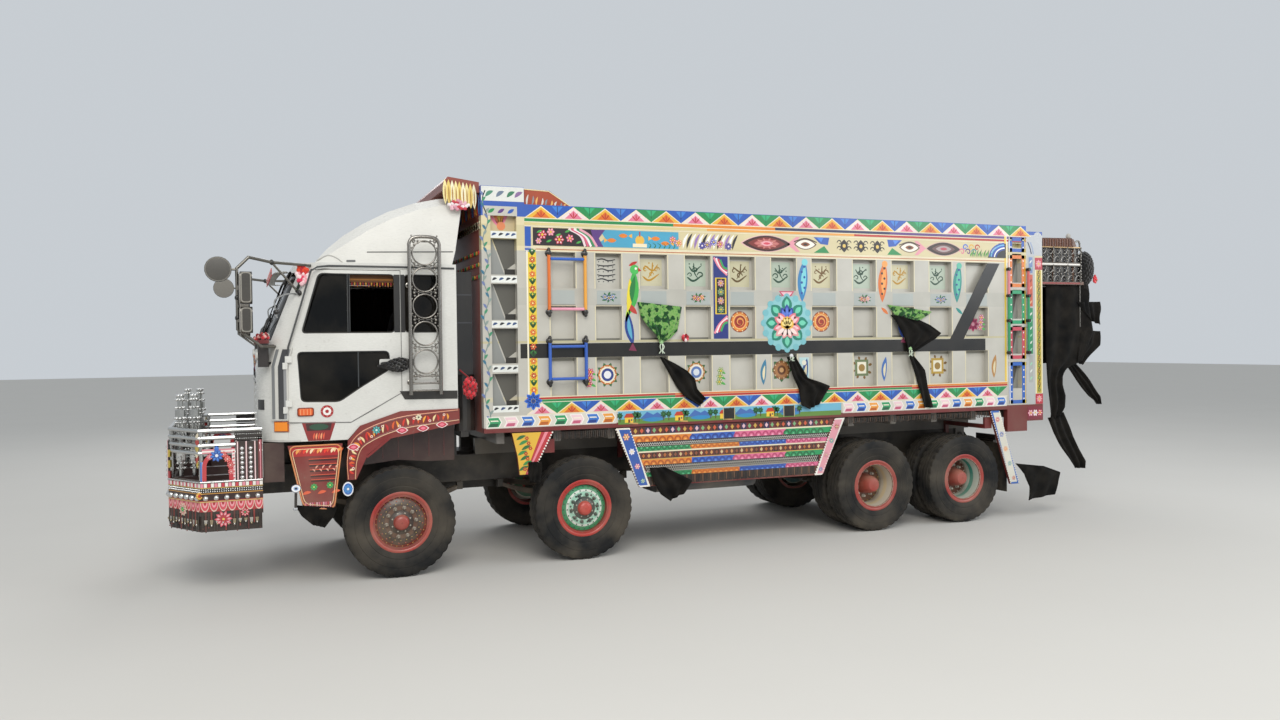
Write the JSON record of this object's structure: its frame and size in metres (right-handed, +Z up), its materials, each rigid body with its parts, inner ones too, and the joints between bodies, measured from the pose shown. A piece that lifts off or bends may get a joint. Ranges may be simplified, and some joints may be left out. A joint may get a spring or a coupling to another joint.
{
  "type": "decorated four-axle tipper truck",
  "caption": "Decorated forward-control tipper truck with painted bed, front guard, steered front axles and twin-tyred rear bogie",
  "frame": {"origin": "centre of the outline on the road, under the middle of the overall length and width", "axes": "+Z up, the truck faces -X, its left side is -Y"},
  "size_m": [10.915, 3.11, 3.92],
  "materials": {
    "chassis_red": "satin",
    "chassis_black": "satin",
    "engine_iron": "rough",
    "cab_white": "gloss",
    "cab_inside": "matte",
    "dark_glass": "gloss",
    "seat_cloth": "matte",
    "red_paint": "gloss",
    "lamp_glass": "gloss",
    "guard_chrome": "polished",
    "mirror_chrome": "polished",
    "ladder_chrome": "polished",
    "black_plastic": "matte",
    "skirt_paint": "gloss",
    "flap_rubber": "matte",
    "bed_steel": "satin",
    "bed_paint": "gloss",
    "rack_chrome": "polished",
    "bar_paint": "gloss",
    "hoist_paint": "satin",
    "rod_chrome": "polished",
    "green_cloth": "matte",
    "black_cloth": "matte",
    "rim_paint": "gloss",
    "tyre_rubber": "matte"
  },
  "bodies": {
    "chassis": {"chassis_frame": "chassis_red", "front_axles": "chassis_black", "rear_axles": "chassis_black", "springs": "chassis_black", "engine": "engine_iron", "propshafts": "chassis_black", "side_tanks": "chassis_black", "cab_front": "cab_white", "cab_sides": "cab_white", "cab_back": "cab_white", "cab_roof": "cab_white", "cab_floor": "cab_inside", "cab_glass": "dark_glass", "roof_fairing": "cab_white", "dashboard": "cab_inside", "seats": "seat_cloth", "arch_bands": "red_paint", "cab_steps": "red_paint", "front_bumper": "red_paint", "headlamps": "lamp_glass", "front_guard": "guard_chrome", "mirrors": "mirror_chrome", "ladders": "ladder_chrome", "air_intake": "black_plastic", "side_skirts": "skirt_paint", "mudflaps": "flap_rubber"},
    "steer_1_left": {"knuckle_1_left": "chassis_black"},
    "steer_1_right": {"knuckle_1_right": "chassis_black"},
    "steer_2_left": {"knuckle_2_left": "chassis_black"},
    "steer_2_right": {"knuckle_2_right": "chassis_black"},
    "wheel_1_left": {"rim_1_left": "rim_paint", "tyre_1_left": "tyre_rubber"},
    "wheel_1_right": {"rim_1_right": "rim_paint", "tyre_1_right": "tyre_rubber"},
    "wheel_2_left": {"rim_2_left": "rim_paint", "tyre_2_left": "tyre_rubber"},
    "wheel_2_right": {"rim_2_right": "rim_paint", "tyre_2_right": "tyre_rubber"},
    "wheel_3_left": {"rim_3_left": "rim_paint", "tyre_3_left": "tyre_rubber"},
    "wheel_3_right": {"rim_3_right": "rim_paint", "tyre_3_right": "tyre_rubber"},
    "wheel_4_left": {"rim_4_left": "rim_paint", "tyre_4_left": "tyre_rubber"},
    "wheel_4_right": {"rim_4_right": "rim_paint", "tyre_4_right": "tyre_rubber"},
    "door_left_body": {"door_left": "cab_white", "door_glass_left": "dark_glass"},
    "door_right_body": {"door_right": "cab_white", "door_glass_right": "dark_glass"},
    "bed": {"bed_floor": "bed_steel", "bed_sides": "bed_paint", "headboard": "bed_paint", "grab_bars": "bar_paint", "side_cloths": "green_cloth"},
    "tailgate_body": {"tailgate": "bed_steel", "rear_rack": "rack_chrome", "rear_cloths": "black_cloth"},
    "barrel": {"hoist_barrel": "hoist_paint"},
    "rod": {"hoist_rod": "rod_chrome"}
  },
  "joints": [
    {"name": "steer_1_left", "type": "hinge", "parent": "chassis", "child": "steer_1_left", "pos_m": [-3.3925, -0.9, 0.5375], "axis": [0, 0, 1], "range_deg": [-30, 30]},
    {"name": "steer_1_right", "type": "hinge", "parent": "chassis", "child": "steer_1_right", "pos_m": [-3.3925, 0.9, 0.5375], "axis": [0, 0, 1], "range_deg": [-30, 30]},
    {"name": "steer_2_left", "type": "hinge", "parent": "chassis", "child": "steer_2_left", "pos_m": [-1.5125, -0.9, 0.5375], "axis": [0, 0, 1], "range_deg": [-20.5, 20.5]},
    {"name": "steer_2_right", "type": "hinge", "parent": "chassis", "child": "steer_2_right", "pos_m": [-1.5125, 0.9, 0.5375], "axis": [0, 0, 1], "range_deg": [-20.5, 20.5]},
    {"name": "spin_1_left", "type": "hinge", "parent": "steer_1_left", "child": "wheel_1_left", "pos_m": [-3.3925, -1.06, 0.5375], "axis": [0, 1, 0], "continuous": true},
    {"name": "spin_1_right", "type": "hinge", "parent": "steer_1_right", "child": "wheel_1_right", "pos_m": [-3.3925, 1.06, 0.5375], "axis": [0, 1, 0], "continuous": true},
    {"name": "spin_2_left", "type": "hinge", "parent": "steer_2_left", "child": "wheel_2_left", "pos_m": [-1.5125, -1.06, 0.5375], "axis": [0, 1, 0], "continuous": true},
    {"name": "spin_2_right", "type": "hinge", "parent": "steer_2_right", "child": "wheel_2_right", "pos_m": [-1.5125, 1.06, 0.5375], "axis": [0, 1, 0], "continuous": true},
    {"name": "spin_3_left", "type": "hinge", "parent": "chassis", "child": "wheel_3_left", "pos_m": [2.1175, -1.082, 0.5375], "axis": [0, 1, 0], "continuous": true},
    {"name": "spin_3_right", "type": "hinge", "parent": "chassis", "child": "wheel_3_right", "pos_m": [2.1175, 1.082, 0.5375], "axis": [0, 1, 0], "continuous": true},
    {"name": "spin_4_left", "type": "hinge", "parent": "chassis", "child": "wheel_4_left", "pos_m": [3.4225, -1.082, 0.5375], "axis": [0, 1, 0], "continuous": true},
    {"name": "spin_4_right", "type": "hinge", "parent": "chassis", "child": "wheel_4_right", "pos_m": [3.4225, 1.082, 0.5375], "axis": [0, 1, 0], "continuous": true},
    {"name": "door_left_swing", "type": "hinge", "parent": "chassis", "child": "door_left_body", "pos_m": [-4.4265, -1.235, 2.2], "axis": [0, 0, -1], "range_deg": [0, 70]},
    {"name": "door_right_swing", "type": "hinge", "parent": "chassis", "child": "door_right_body", "pos_m": [-4.4265, 1.235, 2.2], "axis": [0, 0, 1], "range_deg": [0, 70]},
    {"name": "bed_tip", "type": "hinge", "parent": "chassis", "child": "bed", "pos_m": [4.0075, 0, 1], "axis": [0, 1, 0], "range_deg": [0, 45]},
    {"name": "barrel_turn", "type": "hinge", "parent": "chassis", "child": "barrel", "pos_m": [3.0575, 0, 0.88], "axis": [0, 1, 0], "range_deg": [0, 56.02]},
    {"name": "rod_slide", "type": "slide", "parent": "barrel", "child": "rod", "axis": [-0.9941, 0, 0.1084], "range_m": [0, 0.495]},
    {"name": "tailgate_swing", "type": "hinge", "parent": "bed", "child": "tailgate_body", "pos_m": [4.4225, 0, 3.56], "axis": [0, -1, 0], "range_deg": [0, 45]}
  ],
  "couplings": [
    {"joint": "steer_1_right", "follows": "steer_1_left", "ratio": 1},
    {"joint": "steer_2_left", "follows": "steer_1_left", "ratio": 0.683},
    {"joint": "steer_2_right", "follows": "steer_1_left", "ratio": 0.683},
    {"joint": "barrel_turn", "follows": "bed_tip", "ratio": 1.2337},
    {"joint": "rod_slide", "follows": "bed_tip", "m_per_rad": 0.617}
  ]
}
